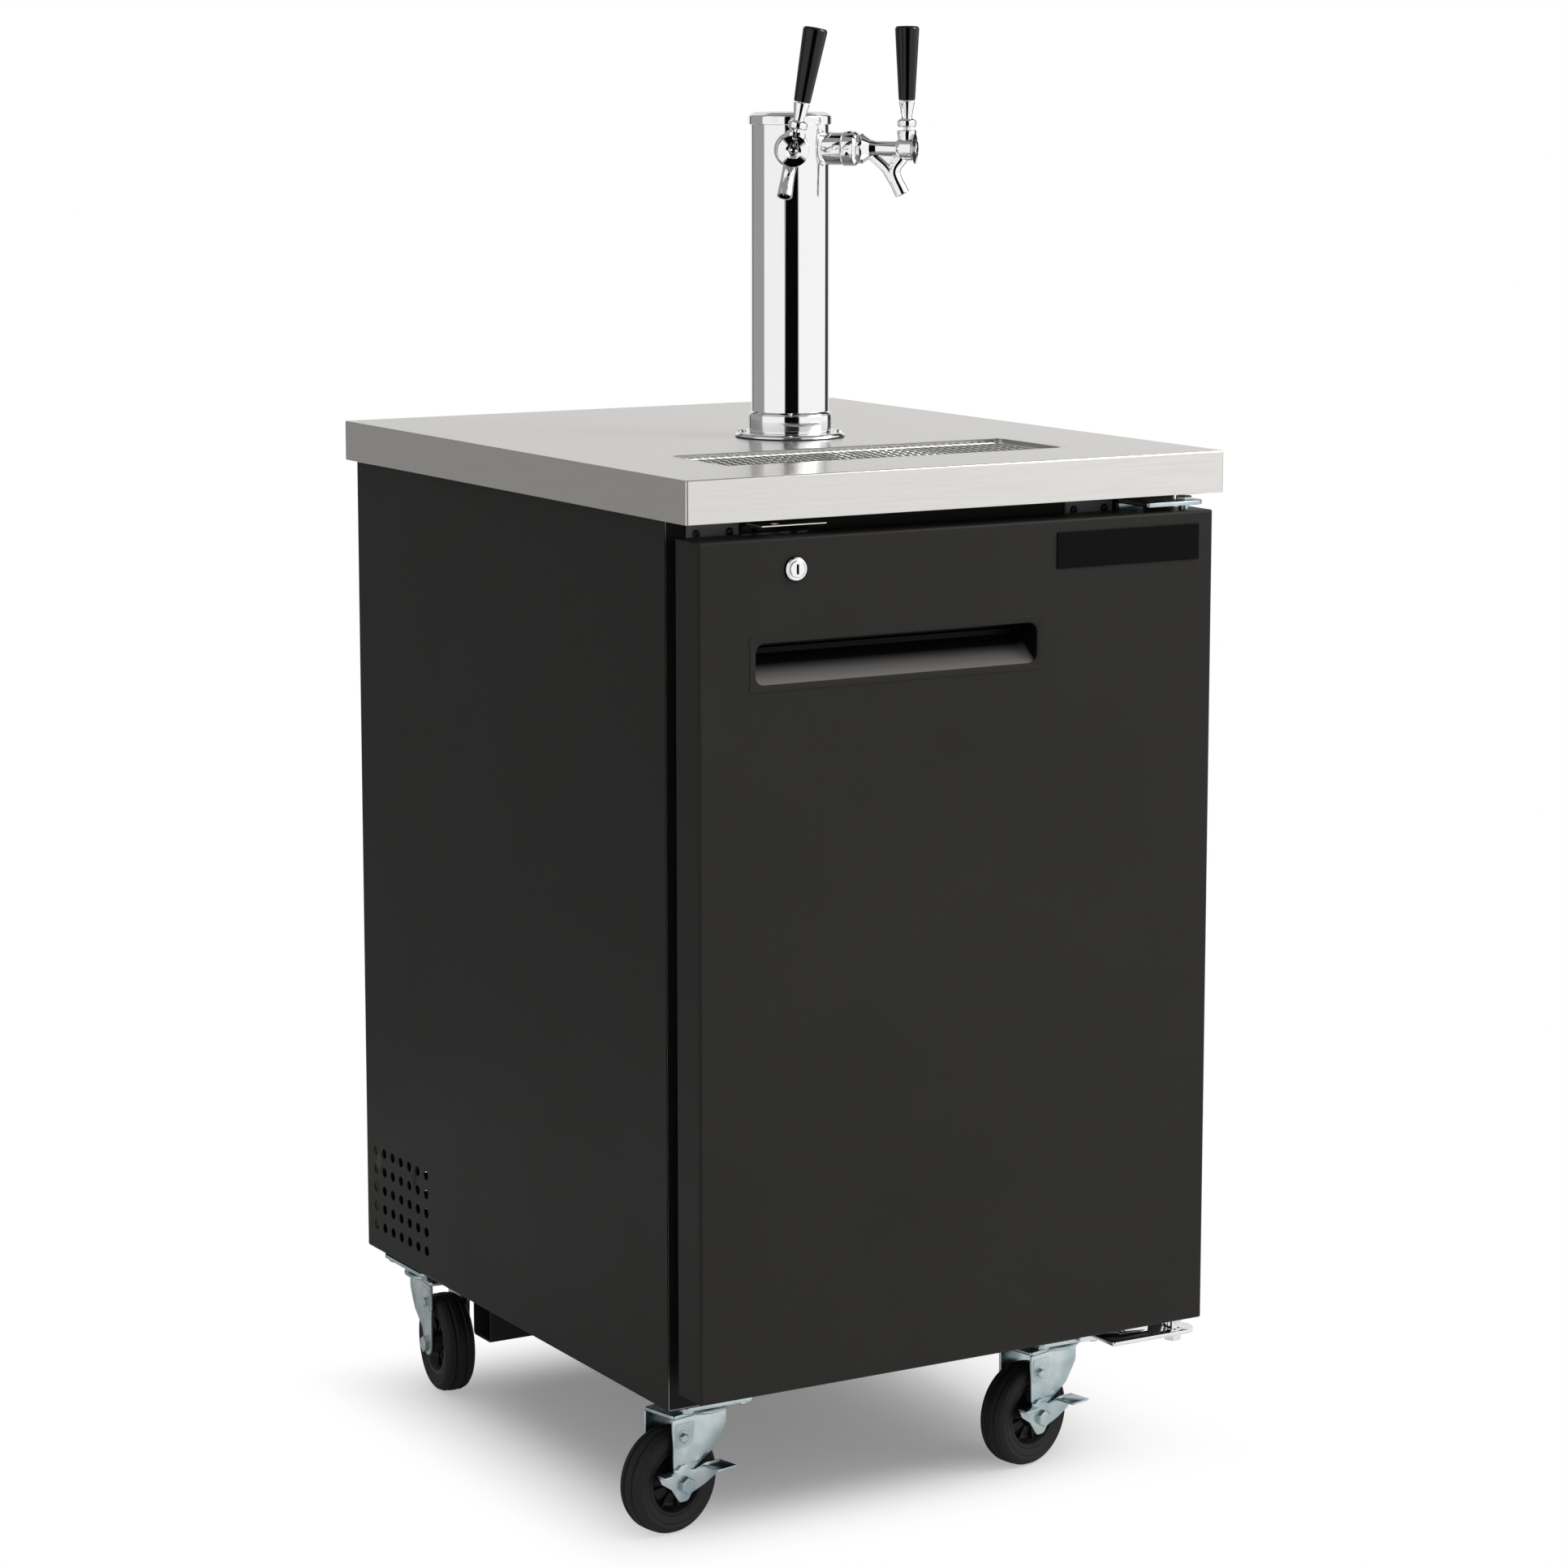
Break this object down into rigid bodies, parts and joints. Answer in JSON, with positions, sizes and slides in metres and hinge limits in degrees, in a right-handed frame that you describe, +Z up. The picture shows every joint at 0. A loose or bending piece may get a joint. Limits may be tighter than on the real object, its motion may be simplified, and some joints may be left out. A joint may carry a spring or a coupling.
{
  "type": "kegerator",
  "caption": "Rolling drink cooler with a solid swing door, stainless top with sunk drip tray, chrome tap tower with faucets, and swivel casters.",
  "frame": {"origin": "on the floor, below the middle of the worktop", "axes": "+X to the right seen from the front, +Y to the back, +Z up; the door faces -Y"},
  "size_m": [0.6004, 0.7265, 1.401],
  "materials": {
    "black_paint": "satin",
    "stainless": "satin",
    "chrome": "polished",
    "zinc": "satin",
    "galvanised": "matte",
    "aluminium": "satin",
    "cast_iron": "matte",
    "black_plastic": "satin",
    "gloss_black": "gloss",
    "white_plastic": "satin",
    "hose": "satin",
    "rubber": "matte",
    "tyre": "matte",
    "board": "matte",
    "foam": "matte",
    "door_foam": "satin"
  },
  "bodies": {
    "cabinet": {"cabinet_shell": "black_paint", "rear_panel": "galvanised", "cabinet_liner": "stainless", "foam_insulation": "foam", "compressor": "cast_iron", "condenser_coil": "aluminium", "condenser_fan_motor": "black_plastic", "evaporator_housing": "white_plastic", "worktop": "stainless", "worktop_core": "board", "drip_tray": "stainless", "drip_grille": "stainless", "tower_flange": "chrome", "tower_column": "chrome", "tower_cap": "chrome", "shank_left": "chrome", "shank_right": "chrome", "coupling_nut_left": "chrome", "coupling_nut_right": "chrome", "faucet_body_left": "chrome", "faucet_body_right": "chrome", "beer_line_left": "hose", "beer_line_right": "hose", "lock_strike": "stainless", "bracket_left": "stainless", "bracket_right": "stainless", "top_hinge": "zinc", "bottom_hinge": "zinc", "caster_plate_front_left": "zinc", "caster_plate_front_right": "zinc", "caster_plate_rear_left": "zinc", "caster_plate_rear_right": "zinc"},
    "door": {"door_skin": "black_paint", "door_liner": "door_foam", "door_gasket": "rubber", "badge_plate": "gloss_black", "handle_pocket": "black_plastic", "lock_barrel": "chrome"},
    "lock_cylinder": {"lock_plug": "chrome"},
    "lock_slider": {"lock_bolt": "zinc"},
    "condenser_fan": {"condenser_fan_blade": "aluminium"},
    "evaporator_fan": {"evaporator_fan_blade": "black_plastic"},
    "left_tap": {"tap_lever_left": "chrome", "tap_grip_left": "gloss_black"},
    "right_tap": {"tap_lever_right": "chrome", "tap_grip_right": "gloss_black"},
    "front_left_swivel": {"caster_fork_front_left": "zinc"},
    "front_right_swivel": {"caster_fork_front_right": "zinc"},
    "rear_left_swivel": {"caster_fork_rear_left": "zinc"},
    "rear_right_swivel": {"caster_fork_rear_right": "zinc"},
    "front_left_wheel": {"caster_hub_front_left": "black_plastic", "caster_tyre_front_left": "tyre"},
    "front_right_wheel": {"caster_hub_front_right": "black_plastic", "caster_tyre_front_right": "tyre"},
    "rear_left_wheel": {"caster_hub_rear_left": "black_plastic", "caster_tyre_rear_left": "tyre"},
    "rear_right_wheel": {"caster_hub_rear_right": "black_plastic", "caster_tyre_rear_right": "tyre"},
    "front_left_brake": {"brake_pedal_front_left": "zinc"},
    "front_right_brake": {"brake_pedal_front_right": "zinc"}
  },
  "joints": [
    {"name": "door_hinge", "type": "hinge", "parent": "cabinet", "child": "door", "pos_m": [0.258, -0.344, 0.55], "axis": [0, 0, 1], "range_deg": [0, 105]},
    {"name": "lock_turn", "type": "hinge", "parent": "door", "child": "lock_cylinder", "pos_m": [-0.18, -0.36, 0.917], "axis": [0, -1, 0], "range_deg": [0, 90]},
    {"name": "bolt_slide", "type": "slide", "parent": "door", "child": "lock_slider", "axis": [0, 0, 1], "range_m": [0, 0.012]},
    {"name": "condenser_fan_spin", "type": "hinge", "parent": "cabinet", "child": "condenser_fan", "pos_m": [0.131, 0.272, 0.1972], "axis": [1, 0, 0], "continuous": true},
    {"name": "evaporator_fan_spin", "type": "hinge", "parent": "cabinet", "child": "evaporator_fan", "pos_m": [0, 0.244, 0.795], "axis": [0, 1, 0], "continuous": true},
    {"name": "left_tap_pull", "type": "hinge", "parent": "cabinet", "child": "left_tap", "pos_m": [-0.04428, -0.12699, 1.2889], "axis": [0.86, -0.4767, -0.1822], "range_deg": [0, 40]},
    {"name": "right_tap_pull", "type": "hinge", "parent": "cabinet", "child": "right_tap", "pos_m": [0.09444, -0.10558, 1.289], "axis": [0.6947, 0.7193, 0], "range_deg": [0, 40]},
    {"name": "front_left_swivel_turn", "type": "hinge", "parent": "cabinet", "child": "front_left_swivel", "pos_m": [-0.224, -0.25, 0.1], "axis": [0, 0, 1], "continuous": true},
    {"name": "front_right_swivel_turn", "type": "hinge", "parent": "cabinet", "child": "front_right_swivel", "pos_m": [0.173, -0.25, 0.1], "axis": [0, 0, 1], "continuous": true},
    {"name": "rear_left_swivel_turn", "type": "hinge", "parent": "cabinet", "child": "rear_left_swivel", "pos_m": [-0.242, 0.275, 0.1], "axis": [0, 0, 1], "continuous": true},
    {"name": "rear_right_swivel_turn", "type": "hinge", "parent": "cabinet", "child": "rear_right_swivel", "pos_m": [0.19, 0.275, 0.1], "axis": [0, 0, 1], "continuous": true},
    {"name": "front_left_wheel_spin", "type": "hinge", "parent": "front_left_swivel", "child": "front_left_wheel", "pos_m": [-0.25726, -0.25707, 0.0508], "axis": [0.2079, -0.9781, 0], "continuous": true},
    {"name": "front_right_wheel_spin", "type": "hinge", "parent": "front_right_swivel", "child": "front_right_wheel", "pos_m": [0.14016, -0.2588, 0.0508], "axis": [0.2588, -0.9659, 0], "continuous": true},
    {"name": "rear_left_wheel_spin", "type": "hinge", "parent": "rear_left_swivel", "child": "rear_left_wheel", "pos_m": [-0.24614, 0.24125, 0.0508], "axis": [0.9925, -0.1219, 0], "continuous": true},
    {"name": "rear_right_wheel_spin", "type": "hinge", "parent": "rear_right_swivel", "child": "rear_right_wheel", "pos_m": [0.20163, 0.24305, 0.0508], "axis": [0.9397, 0.342, 0], "continuous": true},
    {"name": "front_left_brake_press", "type": "hinge", "parent": "front_left_swivel", "child": "front_left_brake", "pos_m": [-0.25726, -0.25707, 0.0508], "axis": [0.2079, -0.9781, 0], "range_deg": [-18, 0]},
    {"name": "front_right_brake_press", "type": "hinge", "parent": "front_right_swivel", "child": "front_right_brake", "pos_m": [0.14016, -0.2588, 0.0508], "axis": [0.2588, -0.9659, 0], "range_deg": [-18, 0]}
  ],
  "couplings": [
    {"joint": "lock_turn", "follows": "bolt_slide", "rad_per_m": 130.9}
  ]
}
